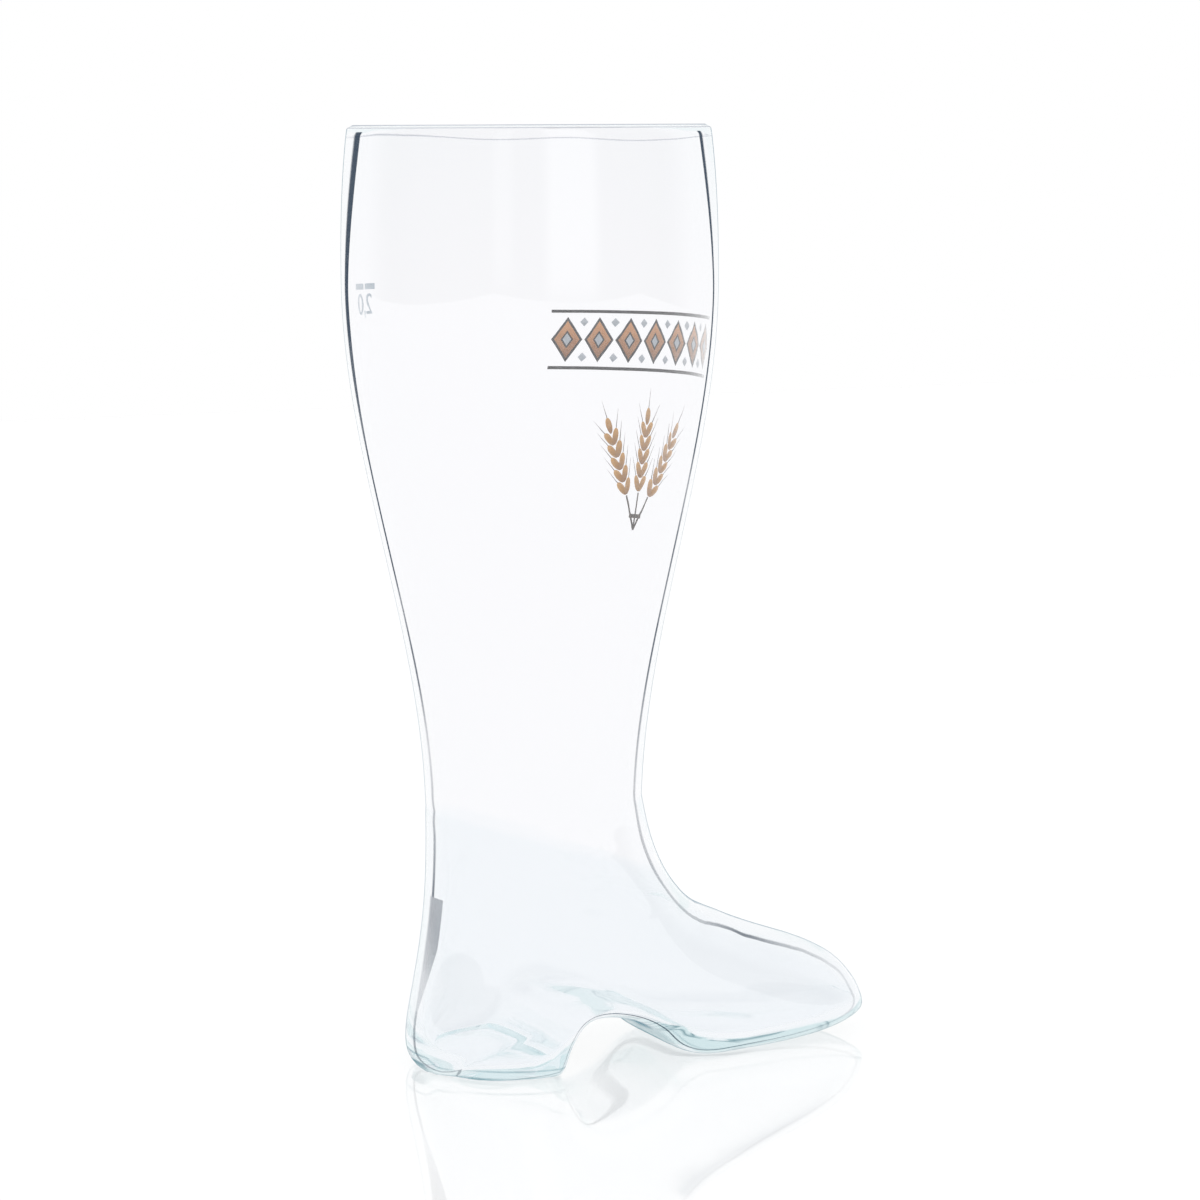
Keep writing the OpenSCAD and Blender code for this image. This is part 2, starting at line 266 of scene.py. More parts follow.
# the leg's axis stands this far ahead of the origin, which is in the middle of the heel's base
legAhead = glass["heelReach"] / 2
# the foot's sections, from the joint to the toe: shares of the way ahead and of the height
# for the instep, the back, the heel's base, the arch, the sole and the elbow between them
topShares = [
    (0, 1), (.024, .950), (.044, .912), (.064, .877), (.081, .849), (.096, .826), (.108, .809),
    (.118, .796), (.135, .775), (.153, .755), (.166, .742), (.183, .727), (.207, .708), (.247, .680),
    (.308, .640), (.374, .595), (.451, .548), (.516, .511), (.604, .464), (.692, .416), (.791, .350),
    (.879, .268), (.951, .150), (.989, .044), (1, 0)]
backShares = [(0, 1), (-.03, .81), (.03, .62), (.33, .437), (.74, .27), (1, .125), (.86, .03)]
baseShares = [(.17, 1), (.52, 1), (.87, 1)]
archShares = [(0, .02), (.07, .55), (.155, .92), (.30, 1), (.50, .86), (.67, .58), (.83, .15)]
soleShares = [(0, -.03), (.21, -.03), (.45, 0), (.66, .10), (.83, .30), (.94, .55), (.987, .8), (1, 1)]
elbowShares = [
    (.5, .5), (.5, .57), (.5, .65), (.48, .74), (.42, .82), (.34, .86), (.21, .78), (.09, .42),
    (.03, .48), (-.03, .55), (-.1, .53), (.01, .47), (.12, .42), (.08, .45), (.04, .48), (0, .5),
    (0, .5), (.05, .5), (.1, .5), (.15, .5), (.25, .5), (.35, .5), (.45, .5), (.5, .5), (.5, .5)]
baseStart = (len(backShares) - 1) * glass["stationSteps"]


def legRadius(z):
    g = glass
    z = np.asarray(z, float)
    below = g["ankleRadius"] + g["instepFillet"] - np.sqrt(
        np.maximum(0, g["instepFillet"] ** 2 - (g["ankleHeight"] - z) ** 2))
    swell = g["ankleRadius"] + (g["bellyRadius"] - g["ankleRadius"]) * blend(
        (z - g["ankleHeight"]) / (g["bellyHeight"] - g["ankleHeight"]))
    rimShare = np.clip((z - g["bellyHeight"]) / (g["height"] - g["bellyHeight"]), 0, 2)
    above = g["bellyRadius"] - (g["bellyRadius"] - g["rimRadius"]) * rimShare ** g["rimCurve"]
    return np.where(z < g["ankleHeight"], below, np.where(z < g["bellyHeight"], swell, above))


def legWall(z):
    g = glass
    middle = (g["ankleHeight"] + g["bellyHeight"]) / 2
    thick = g["height"] - g["rimZone"]
    low = lerp(g["ankleWall"], g["legWall"], blend((z - g["ankleHeight"]) / (middle - g["ankleHeight"])))
    return np.where(z < thick, low, lerp(g["legWall"], g["rimWall"], blend((z - thick) / g["rimZone"])))


def legInner(z):
    step = 0.3
    slope = (legRadius(z + step) - legRadius(z - step)) / (2 * step)
    return legRadius(z) - legWall(z) * np.sqrt(1 + slope ** 2)


jointHeight = glass["ankleHeight"] - glass["jointDrop"]
jointSlope = math.tan(math.radians(glass["jointTilt"]))


def jointRing(angles, radiusAt):
    radius = np.full_like(angles, glass["ankleRadius"])
    for _ in range(40):
        radius = radiusAt(jointHeight - jointSlope * radius * np.cos(angles))
    return np.stack([radius * np.cos(angles), radius * np.sin(angles),
                     jointHeight - jointSlope * radius * np.cos(angles)], -1)


def footSections():
    # each section's point on the instep, point on the back or sole, and elbow between them
    g = glass
    front = jointRing(np.array([0.0]), legRadius)[0]
    back = jointRing(np.array([math.pi]), legRadius)[0]
    drop = g["soleWall"] / 2
    tip = g["toeTipHeight"]
    low = [(lerp(back[0], -g["heelReach"], a), back[2] * b) for a, b in backShares]
    low += [(lerp(-g["heelReach"], g["breastPlace"], a), -drop * b) for a, b in baseShares]
    low += [(lerp(g["breastPlace"], g["ballPlace"], a), g["archHeight"] * b) for a, b in archShares]
    low += [(lerp(g["ballPlace"], g["toeReach"], a), tip * b) for a, b in soleShares]
    high = [(lerp(front[0], g["toeReach"], a), lerp(tip, front[2], b)) for a, b in topShares]
    stations = np.hstack([high, low, elbowShares])
    last = len(stations) - 1
    rows = []
    for i in range(last):
        a, b, c, d = (stations[max(0, min(last, i + k))] for k in (-1, 0, 1, 2))
        for j in range(g["stationSteps"]):
            t = j / g["stationSteps"]
            rows.append((2 * b + (c - a) * t + (2 * a - 5 * b + 4 * c - d) * t ** 2
                         + (3 * b - a - 3 * c + d) * t ** 3) / 2)
    return np.array(rows), front, back


def outlineDistance(points, path):
    best = np.full(points.shape[:-1], 1e9)
    for a, b in zip(path[:-1], path[1:]):
        along = b - a
        share = np.clip(((points - a) @ along) / max(along @ along, 1e-9), 0, 1)
        best = np.minimum(best, np.linalg.norm(points - a - share[..., None] * along, axis=-1))
    return best


def roundOver(distance, radius, power):
    inside = 1 - np.clip(distance / radius, 0, 1)
    return np.maximum(1 - inside ** power, 1e-9) ** (1 / power)


def footRings(angles):
    g = glass
    sections, front, back = footSections()
    heights = [front[2] + i * g["jointDrop"] for i in (3, 2, 1)]
    topPath = np.vstack([[(float(legRadius(z)), z) for z in heights], sections[:, 0:2]])
    middle = (g["ankleHeight"] + g["bellyHeight"]) / 2
    backPath = np.vstack([[(-g["ankleRadius"], middle)], sections[:baseStart + g["stationSteps"] + 1, 2:4]])
    solePath = np.vstack([sections[baseStart:, 2:4], [(g["toeReach"], g["toeTipHeight"])]])
    side = abs(jointRing(np.array([math.pi / 2]), legRadius)[0][1])

    top = sections[:, None, 0:2]
    low = sections[:, None, 2:4]
    elbow = low + (top - low) * sections[:, None, 4:6]
    q = ((1 + np.cos(angles)) / 2)[None, :, None]
    place = low * (1 - q) ** 2 + elbow * 2 * q * (1 - q) + top * q ** 2

    x, z = place[..., 0], place[..., 1]
    heelWidth = np.interp(z, [0, jointHeight / 2, jointHeight], [g["heelHalf"], g["waistHalf"], side])
    toward = np.clip((x - g["ballPlace"]) / (g["toeReach"] - g["ballPlace"]), 0, 1)
    ballWidth = lerp(g["ballHalf"], g["toeHalf"], toward ** 2)
    width = lerp(heelWidth, ballWidth, blend((x - g["breastPlace"]) / (g["ballPlace"] - g["breastPlace"])))
    backRound = lerp(g["heelRound"], side, np.clip(z / jointHeight, 0, 1))
    underToe = np.clip((x - g["ballPlace"] + g["soleRound"] / 2)
                       / (g["toeReach"] - g["ballPlace"] + g["soleRound"] / 2), 0, 1)
    solePower = lerp(g["sidePower"], g["toePower"], underToe)
    sole = roundOver(outlineDistance(place, solePath), g["soleRound"], solePower)
    vamp = roundOver(outlineDistance(place, topPath), g["vampRound"], 2)
    heel = roundOver(outlineDistance(place, backPath), backRound, 2)
    power = g["cornerPower"]
    half = width * (sole ** -power + vamp ** -power + heel ** -power - 2) ** (-1 / power)
    return np.stack([x, np.sign(np.round(np.sin(angles), 9)) * half, np.maximum(z, 0)], -1)


def relaxRings(rings, first, last, rounds):
    # evens out neighbouring rings between first and last, which stay
    for _ in range(rounds):
        inner = (rings[first:last - 1] + 2 * rings[first + 1:last] + rings[first + 2:last + 1]) / 4
        rings[first + 1:last] = inner
    return rings


def smoothSkin(rings, first, rounds, height, zone):
    # rounds off the folds of an offset skin below a height, both along and round the foot
    last = len(rings) - 1
    ease = blend((height - rings[first:last, :, 2:]) / zone)
    for _ in range(rounds):
        middle = rings[first:last]
        along = (rings[first - 1:last - 1] + rings[first + 1:last + 1]) / 2
        across = (np.roll(middle, 1, axis=1) + np.roll(middle, -1, axis=1)) / 2
        rings[first:last] = middle + ease * 0.5 * ((along + across) / 2 - middle)
    return rings


def skinNormals(rings, tip):
    following = np.concatenate([rings[1:], np.broadcast_to(tip, rings[:1].shape)])
    before = np.concatenate([rings[:1], rings[:-1]])
    turn = np.roll(rings, -1, axis=1) - np.roll(rings, 1, axis=1)
    normal = np.cross(turn, following - before)
    length = np.linalg.norm(normal, axis=-1, keepdims=True)
    return normal / np.maximum(length, 1e-9)


def jointLine(points):
    # height above the fused joint, whose line wavers as it goes round
    azimuth = np.arctan2(points[..., 1], points[..., 0])
    wobble = glass["jointWobble"] * np.sin(2 * (azimuth + math.radians(glass["wobbleTurn"])))
    return points[..., 2] - (jointHeight - jointSlope * points[..., 0] + wobble)


def makeFoot():
    g = glass
    angles = 2 * math.pi * np.arange(g["around"]) / g["around"]
    outerJoint = jointRing(angles, legRadius)
    innerJoint = jointRing(angles, legInner)
    outerRows, innerRows = [], []
    for row in range(g["seamRows"]):
        t = row / g["seamRows"]
        for rows, ring, radiusAt in ((outerRows, outerJoint, legRadius), (innerRows, innerJoint, legInner)):
            z = lerp(g["seamHeight"], ring[:, 2], t)
            r = radiusAt(z)
            rows.append(np.stack([r * np.cos(angles), r * np.sin(angles), z], -1))
    foot = footRings(angles)
    outer = np.concatenate([outerRows, [outerJoint], foot[1:]])
    joint = g["seamRows"]
    outer = relaxRings(outer, 2, joint + 4 * g["stationSteps"], g["evenOuter"])
    tip = np.array([g["toeReach"], 0, g["toeTipHeight"]])
    normal = skinNormals(outer, tip)
    wall = np.full(outer.shape[:2], float(g["ankleWall"]))
    rings = (np.arange(len(outer)) - joint)[:, None] / (g["wallRings"] * g["stationSteps"])
    upward = np.clip(normal[..., 2], 0, 1)
    wall = lerp(wall, lerp(g["footWall"], g["soleWall"], upward), blend(rings))
    inner = outer + normal * wall[..., None]
    inner = smoothSkin(inner, joint + 2, g["foldRounds"], g["foldHeight"], g["foldZone"])
    depth = np.sum((inner - outer) * normal, axis=-1)
    inner += normal * np.maximum(0, g["leastWall"] * wall - depth)[..., None]
    share = np.clip(np.arange(len(outer)) / (joint + 1), 0, 1)[:, None, None]
    exact = np.concatenate([innerRows, [innerJoint], inner[joint + 1:]])
    inner = lerp(exact, inner, blend(share))
    inner[:joint] = relaxRings(inner, 0, joint + 2 * g["stationSteps"], g["evenInner"])[:joint]
    inner[0] = exact[0]
    # the ridge of the fused joint, on the outer skin and absent at the front
    turned = blend((g["ridgeFrom"] - np.cos(np.arctan2(outer[..., 1], outer[..., 0]))) / g["ridgeSoft"])
    ridge = g["jointRidge"] * np.exp(-(jointLine(outer) / g["jointWidth"]) ** 2) * turned
    ridge[0] = 0
    outer += normal * ridge[..., None]
    return outer, inner, tip


def skinFaces(rings, around, base, flip):
    i, k = np.meshgrid(np.arange(rings - 1), np.arange(around), indexing="ij")
    a = base + i * around + k
    b = base + i * around + (k + 1) % around
    quads = np.stack([a, b, b + around, a + around], -1).reshape(-1, 4)
    return quads[:, ::-1] if flip else quads


def makeGlassTree():
    # revolves the leg's profile and joins it to the foot, then gives the inner skin its ripple
    g = glass
    tree, start, end = newShapeTree(
        "bootGlass", ("Object", "Profile"), ("Int", "Facets", "Rows"), ("Material", "Material"),
        ("Float", "Ripple", "Ripple Size", "Rim Wave", "Rim Height", "Seed"))
    place = putShape(tree, "InputPosition")
    x, y, z = split(place)
    turn = (x + 0.5) * (2 * math.pi)
    along = y + 0.5
    profile = putShape(tree, "ObjectInfo", {"Object": start["Profile"]}, "Geometry")
    radius, _, height = split(putShape(tree, "SampleCurve", {
        "Curves": profile, "Factor": along}, "Position", mode="FACTOR", use_all_curves=True))
    spot = join(tree, radius * maths("COSINE", turn), radius * maths("SINE", turn), height)
    grid = putShape(tree, "MeshGrid", {
        "Size X": 1, "Size Y": 1, "Vertices X": start["Facets"] + 1, "Vertices Y": start["Rows"]})
    marked = act(grid, "StoreNamedAttribute", {
        "Name": "inside", "Value": along > 0.5}, data_type="FLOAT", domain="POINT")
    leg = act(marked, "SetPosition", {"Position": spot})
    whole = mergeParts(leg, start["Geometry"], g["weld"] * mm)

    # ripple of the inner skin: long soft waves, and a wavering lower edge of the rim's thick glass
    squeezed = put(tree, "VectorMath", {
        0: place, 1: (1, 1, g["rippleStretch"])}, operation="MULTIPLY")
    wave = put(tree, "TexNoise", {
        "Vector": squeezed, "W": start["Seed"], "Scale": 1.0 / start["Ripple Size"], "Detail": 1.0},
        noise_dimensions="4D") - 0.5
    below = (start["Rim Height"] - z) / (g["rimReach"] * mm)
    bulge = maths("EXPONENT", below * below * -1.0)
    lift = wave * start["Ripple"] + wave * bulge * start["Rim Wave"]
    inside = putShape(tree, "InputNamedAttribute", {"Name": "inside"}, data_type="FLOAT")
    level = put(tree, "VectorMath", {
        0: putShape(tree, "InputNormal"), 1: (1, 1, 0)}, operation="MULTIPLY")
    shift = put(tree, "VectorMath", {0: level, "Scale": lift * inside}, operation="SCALE")
    rippled = act(whole, "SetPosition", {"Offset": shift})
    closeTree(end, act(rippled, "SetShadeSmooth"), start["Material"])
    return tree


def legProfile():
    g = glass
    rimTop = g["height"] - g["rimWall"] / 2
    z = g["seamHeight"] + (rimTop - g["seamHeight"]) * np.linspace(0, 1, g["legRows"])
    outer = [(r, h) for r, h in zip(legRadius(z), z)]
    inner = [(r, h) for r, h in zip(legInner(z), z)][::-1]
    middle = (outer[-1][0] + inner[0][0]) / 2
    reach = (outer[-1][0] - inner[0][0]) / 2
    rim = [(middle + reach * math.cos(a), rimTop + g["rimWall"] / 2 * math.sin(a))
           for a in math.pi * np.arange(1, g["rimRows"]) / g["rimRows"]]
    points = outer + rim + inner
    curve = bpy.data.curves.new("legProfile", "CURVE")
    curve.dimensions = "3D"
    line = curve.splines.new("POLY")
    line.points.add(len(points) - 1)
    for point, (r, h) in zip(line.points, points):
        point.co = (r * mm, 0, h * mm, 1)
    return newPiece("legProfile", curve), len(points)


def makeGlass(material):
    g = glass
    outer, inner, tip = makeFoot()
    rings, around = outer.shape[:2]
    count = rings * around
    innerTip = tip - np.array([g["footWall"], 0, 0])
    verts = np.concatenate([outer.reshape(-1, 3), inner.reshape(-1, 3), [tip, innerTip]]) * mm
    faces = [tuple(f) for f in skinFaces(rings, around, 0, False)]
    faces += [tuple(f) for f in skinFaces(rings, around, count, True)]
    for k in range(around):
        a, b = (rings - 1) * around + k, (rings - 1) * around + (k + 1) % around
        faces += [(a, b, 2 * count), (b + count, a + count, 2 * count + 1)]
    piece = makePiece("bootGlass", verts, faces)
    setAttribute(piece.data, "inside", np.concatenate([np.zeros(count), np.ones(count), [0, 1]]))
    profile, rows = legProfile()
    useTree(piece, makeGlassTree(), profile=profile, facets=around, rows=rows, ripple=g["ripple"] * mm,
            rippleSize=g["rippleSize"] * mm, rimWave=g["rimWave"] * mm,
            rimHeight=(g["height"] - g["rimWall"]) * mm, seed=float(g["seed"]), material=material)
    bakeTrees(piece)
    bpy.data.objects.remove(profile)
    work = bmesh.new()
    work.from_mesh(piece.data)
    bmesh.ops.recalc_face_normals(work, faces=work.faces)
    openEdges = sum(1 for edge in work.edges if not edge.is_manifold)
    work.to_mesh(piece.data)
    work.free()

    # what the material's painted lines need: the inner skin's share of the radius, and the height above the
    # sole
    places = np.zeros(len(piece.data.vertices) * 3)
    piece.data.vertices.foreach_get("co", places)
    x, z = places[0::3] / mm, places[2::3] / mm
    onLeg = blend((z - jointHeight) / g["jointTilt"])
    setAttribute(piece.data, "innerShare", lerp(g["footTangent"], legInner(z) / legRadius(z), onLeg))
    sole = footSections()[0][baseStart:, 2:4]
    setAttribute(piece.data, "aboveSole", z - np.interp(x, sole[:, 0], np.maximum(sole[:, 1], 0)))
    print("glass:", len(piece.data.polygons), "faces,", openEdges, "open edges")
    return piece


# Materials

def newMaterial(name):
    material = bpy.data.materials.new(name)
    material.use_nodes = True
    tree = material.node_tree
    tree.nodes.clear()
    shader = addNode(tree, "ShaderNodeBsdfPrincipled")
    return material, tree, shader, addNode(tree, "ShaderNodeOutputMaterial")


enamels = {
    "copper": {"top": (0.70, 0.31, 0.12), "low": (0.15, 0.042, 0.014),
               "thin": (0.80, 0.45, 0.24), "metal": 0.15},
    "black": {"top": (0.006, 0.006, 0.012), "low": (0.004, 0.004, 0.006),
              "thin": (0.02, 0.02, 0.035), "metal": 0.0},
    "silver": {"top": (0.52, 0.55, 0.60), "low": (0.30, 0.33, 0.38),
               "thin": (0.66, 0.69, 0.74), "metal": 0.15},
    "gold": {"top": (0.66, 0.33, 0.08), "low": (0.24, 0.085, 0.018),
             "thin": (0.74, 0.46, 0.18), "metal": 0.15},
    "brown": {"top": (0.045, 0.016, 0.006), "low": (0.02, 0.008, 0.004),
              "thin": (0.09, 0.04, 0.02), "metal": 0.0},
    "pale": {"top": (0.45, 0.54, 0.61), "low": (0.40, 0.48, 0.56),
             "thin": (0.54, 0.62, 0.68), "metal": 0.0},
}
enamelWear = {
    "cloudDetail": 4.0, "dotHeight": 0.5, "thinFrom": 0.55, "thinRise": 2.0, "roughness": 0.2,
    "unevenness": 0.25, "bump": 0.25, "bumpDepth": 0.05, "coat": 0.1, "specular": 0.3,
}


def makeEnamelGroup():
    # fired screen print: fine mesh dots, cloudy thickness, pale where the colour lies thin
    w = enamelWear
    tree, start, end = newTree("firedEnamel", "ShaderNodeTree", [
        ("Colour", "Color", (0.8, 0.8, 0.8, 1)), ("Thin Colour", "Color", (1, 1, 1, 1)),
        ("Cloud Scale", "Float", 160.0), ("Dot Scale", "Float", 2600.0), ("Thinness", "Float", 0.35)],
        [("Colour", "Color"), ("Roughness", "Float"), ("Height", "Float")])
    place = put(tree, "TexCoord", None, "Object")
    cloud = noise(place, start["Cloud Scale"], Detail=w["cloudDetail"])
    dots = put(tree, "TexVoronoi", {"Vector": place, "Scale": start["Dot Scale"]}, "Distance")
    grain = dots * w["dotHeight"]
    thin = (cloud + (grain - w["thinFrom"])) * start["Thinness"]
    mask = put(tree, "Clamp", {0: thin * w["thinRise"]})
    setInputs(end, {
        "Colour": mixColours(mask, start["Colour"], start["Thin Colour"]),
        "Roughness": cloud * w["unevenness"] + w["roughness"], "Height": cloud + grain})
    return tree


def makeEnamel(name, group):
    values, w = enamels[name], enamelWear
    material, tree, shader, out = newMaterial(name + "Enamel")
    shade = mixColours(attribute(tree, "motifHeight"), values["low"], values["top"])
    worn = outputsOf(addNode(tree, "ShaderNodeGroup", {
        "Colour": shade, "Thin Colour": (*values["thin"], 1)}, node_tree=group))
    bump = put(tree, "Bump", {
        "Height": worn["Height"], "Strength": w["bump"], "Distance": w["bumpDepth"] * mm})
    setInputs(shader, {
        "Base Color": worn["Colour"], "Roughness": worn["Roughness"], "Normal": bump,
        "Metallic": values["metal"], "Coat Weight": w["coat"], "Specular IOR Level": w["specular"]})
    # the faint second images that the walls mirror are left out
    ghost = put(tree, "LightPath", None, "Glossy Depth") > 0.5
    clear = put(tree, "BsdfTransparent")
    setInputs(out, {"Surface": mixShaders(ghost, Field(shader.outputs[0]), clear)})
    return material


def makeEdgeGroup():
    # masks for the painted dark line (painted shade) where sight grazes the inner skin, and for the painted
    # pale outline
    tree, start, end = newTree("glassEdge", "ShaderNodeTree", [
        ("Facing", "Float", 0.0), ("Tangent", "Float", 0.95), ("Line Start", "Float", -0.08),
        ("Line End", "Float", 0.26), ("Line Softness", "Float", 0.06), ("Outline Start", "Float", 0.90)],
        [("Line", "Float"), ("Outline", "Float")])
    cosine = 1.0 - start["Facing"]
    sine = maths("SQRT", 1.0 - cosine * cosine)
    place = (sine - start["Tangent"]) / (1.0 - start["Tangent"])
    rise = ramp(place, start["Line Start"], start["Line Start"] + start["Line Softness"], soft=True)
    fall = ramp(place, start["Line End"], start["Line End"] * 0.5, soft=True)
    setInputs(end, {"Line": rise * fall, "Outline": ramp(place, start["Outline Start"], 1.0, soft=True)})
    return tree


clearGlass = {
    "legTint": (1.0, 1.0, 1.0), "footTint": (0.966, 0.980, 0.987), "jointBlend": 1.5,
    "ior": 1.5, "roughness": 0.0, "shadow": 0.97,
    "absorb": (0.20, 0.44, 0.50), "glow": (0.42, 0.60, 0.64), "density": 6.0,
    "markSize": 90.0, "markStretch": 0.15, "markStrength": 0.05, "markDepth": 0.5,
}
# the painted dark line along the inner skin, painted shade for the darker studio seen through the glass's
# edge; starts and ends count from the inner skin, 0, to the outline, 1
paintedInnerLine = {
    "colour": (0.030, 0.055, 0.090), "strength": 0.95, "start": -0.08, "legEnd": 0.26, "footEnd": 0.24,
    "flankAzimuth": 155, "flankHalf": 35, "bellyLow": 215, "bellyHigh": 275,
    "bellyStart": -0.36, "bellyEnd": 0.40,
    "ankleHalf": 42, "ankleSoft": 8, "ankleLow": 22, "ankleFull": 46, "ankleHigh": 64,
    "ankleStart": -1.05, "ankleEnd": 0.40, "ankleStrength": 0.62,
    "toeNear": 75, "toeFar": 115, "toeStrength": 0.25,
    "neckHeight": 105, "neckZone": 35, "neckFade": 0.55, "rimDrop": 2.5,
    "fadingSize": 22.0, "fadingLow": 0.38, "fadingHigh": 0.68, "fadingRise": 0.8, "least": 0.45,
}
# the painted outline (a painted reflection, turning to painted shade at the sole), and the sole's painted
# dark lines as height above the sole, half width and strength
outline = {
    "colour": (0.25, 0.36, 0.44), "strength": 0.85, "soleColour": (0.11, 0.26, 0.31), "soleStrength": 0.90,
    "soleHeight": 16, "soleLines": ((0.0, 1.5, 0.85), (3.9, 0.55, 0.45)),
    "underside": 0.35, "undersideFrom": -0.75, "undersideTo": -0.45, "steady": 0.35, "unsteady": 1.2,
}
# painted dark lines and a painted pale highlight on the rim
paintedRimLines = {
    "lipDrop": 4.2, "lipWave": 5.0, "lipWaveSize": 9.0, "lipHalf": 0.30, "lipStrength": 0.60,
    "lineDrops": (0.15, 1.1), "lineHalf": 0.22, "lineStrength": 0.75, "lineColour": (0.34, 0.37, 0.46),
    "paleness": 0.6, "paleColour": (0.93, 0.945, 0.955),
}
# painted light: the emission colour shown after more bounces or mirrorings than these
paintedDeepLight = {
    "bounces": 9.5, "mirrors": 3.5, "leg": (0.93, 0.955, 0.975), "foot": (0.89, 0.93, 0.945),
    "sole": (0.72, 0.84, 0.86), "soleFrom": 28, "soleTo": 12, "heelLess": 20,
    "strand": (0.17, 0.32, 0.37), "strandHalf": 0.035, "strandSizes": (14, 14, 300), "strandTwist": 0.6,
}


def whereOnGlass(tree):
    # place and azimuth measured from the leg's axis, and how far a point belongs to the foot
    onPiece = put(tree, "TexCoord", None, "Object")
    place = put(tree, "Mapping", {"Vector": onPiece, "Location": (-legAhead * mm, 0, 0)})
    x, y, z = split(place)
    half = clearGlass["jointBlend"]
    inFoot = ramp(z + x * jointSlope, (jointHeight + half) * mm, (jointHeight - half) * mm)
    return {"place": place, "x": x, "z": z, "azimuth": maths("ARCTAN2", y, x), "inFoot": inFoot}


def setGlassBody(tree, shader, out, at):
    # neutral leg above the fused joint, a slightly bluer foot below it, fine marks left by the mould
    c = clearGlass
    marks = noise(stretch(at["place"], (1, 1, c["markStretch"])), c["markSize"])
    bump = put(tree, "Bump", {
        "Height": marks, "Strength": c["markStrength"], "Distance": c["markDepth"] * mm})
    setInputs(shader, {
        "Base Color": mixColours(at["inFoot"], c["legTint"], c["footTint"]), "Normal": bump,
        "Transmission Weight": 1.0, "IOR": c["ior"], "Roughness": c["roughness"]})
    # a painted glow: the glass's volume gives off light, so that long ways through thick glass end blue green
    # and not black
    gathered = [g * (1 - a) for g, a in zip(c["glow"], c["absorb"])]
    absorb = put(tree, "VolumeAbsorption", {
        "Color": (*c["absorb"], 1), "Density": c["density"]})
    glow = emission(tree, gathered, c["density"])
    setInputs(out, {"Volume": put(tree, "AddShader", {0: absorb, 1: glow})})


def placeInnerLine(edge, at, fading):
    # sets where the painted dark line runs and gives its strength
    v = paintedInnerLine
    z = at["z"]
    away = turnApart(at["azimuth"], math.radians(v["flankAzimuth"]))
    # broad high up on the flank that faces the darker side of the studio
    flank = ramp(away, math.radians(v["flankHalf"]), math.radians(v["flankHalf"] / 2), soft=True)
    belly = flank * ramp(z, v["bellyLow"] * mm, v["bellyHigh"] * mm, soft=True)
    start = mixNumbers(belly, v["start"], v["bellyStart"])
    end = mixNumbers(belly, mixNumbers(at["inFoot"], v["legEnd"], v["footEnd"]), v["bellyEnd"])
    # broad and greyer behind the ankle, with a blunt upper end and a pointed lower one
    behind = ramp(away, math.radians(v["ankleHalf"] + v["ankleSoft"]), math.radians(v["ankleHalf"]))
    ankle = behind * (ramp(z, v["ankleLow"] * mm, v["ankleFull"] * mm) * (z < v["ankleHigh"] * mm))
    setInputs(edge, {
        "Line Start": mixNumbers(ankle, start, v["ankleStart"]),
        "Line End": mixNumbers(ankle, end, v["ankleEnd"])})
    greyer = mixNumbers(ankle > 0.0, 1.0, v["ankleStrength"])
    # faint toward the toe and round the slim ankle, and none on the rim
    toToe = ramp(at["x"] * at["inFoot"], v["toeNear"] * mm, v["toeFar"] * mm, 1.0, v["toeStrength"])
    fromNeck = (z - v["neckHeight"] * mm) / (v["neckZone"] * mm)
    neck = maths("EXPONENT", fromNeck * fromNeck * -1.0) * v["neckFade"]
    belowRim = z < (glass["height"] - v["rimDrop"]) * mm
    # it comes and goes along the glass
    held = ramp(fading + z * v["fadingRise"], v["fadingLow"], v["fadingHigh"], v["least"])
    return held * (1.0 - neck) * v["strength"] * (greyer * toToe * belowRim)


def soleLineMask(tree, normal, fading):
    # painted shade: the sole's lower edge and the floor of its cavity get two painted dark lines, but less on
    # the underside
    v = outline
    above = attribute(tree, "aboveSole")
    lines = [ramp(abs(above - height), half, half / 3, high=strength, soft=True)
             for height, half, strength in v["soleLines"]]
    sideways = ramp(split(normal)[2], v["undersideFrom"], v["undersideTo"], v["underside"])
    return maths("MAXIMUM", *lines) * sideways * (v["steady"] + fading * v["unsteady"])


def rimMasks(at, first, inside, backfacing):
    # painted lines: a dark one at the wavering lower edge of the rim's thick glass, and on the rim two fine
    # ones with a painted pale highlight between
    v = paintedRimLines
    fromTop = glass["height"] * mm - at["z"]
    waver = noise(stretch(at["place"], (1, 1, 0)), v["lipWaveSize"])
    drop = v["lipDrop"] * mm + (waver - 0.5) * (2 * v["lipWave"] * mm)
    lip = ramp(abs(fromTop - drop), v["lipHalf"] * mm, 0.0, high=v["lipStrength"]) * (inside * backfacing)
    upper, lower = [ramp(abs(fromTop - height * mm), v["lineHalf"] * mm, 0.0, soft=True)
                    for height in v["lineDrops"]]
    rim = (upper + lower) * (first * v["lineStrength"])
    pale = (fromTop < glass["rimWall"] / 3 * mm) * (first * v["paleness"])
    return maths("MAXIMUM", lip, rim), pale


def deepColour(at):
    # painted light for rays lost in the glass: pale in the leg and the foot, bluer in the sole, where thin
    # dark painted streaks run lengthwise
    v = paintedDeepLight
    twisted = noise(stretch(at["place"], v["strandSizes"]), 1.0, Distortion=v["strandTwist"])
    strand = ramp(abs(twisted - 0.5), v["strandHalf"], 0.0)
    height = at["z"] + (at["x"] < 0.0) * (v["heelLess"] * mm)
    inSole = ramp(height, v["soleFrom"] * mm, v["soleTo"] * mm)
    foot = mixColours(inSole, v["foot"], mixColours(strand, v["sole"], v["strand"]))
    return mixColours(at["inFoot"], v["leg"], foot)


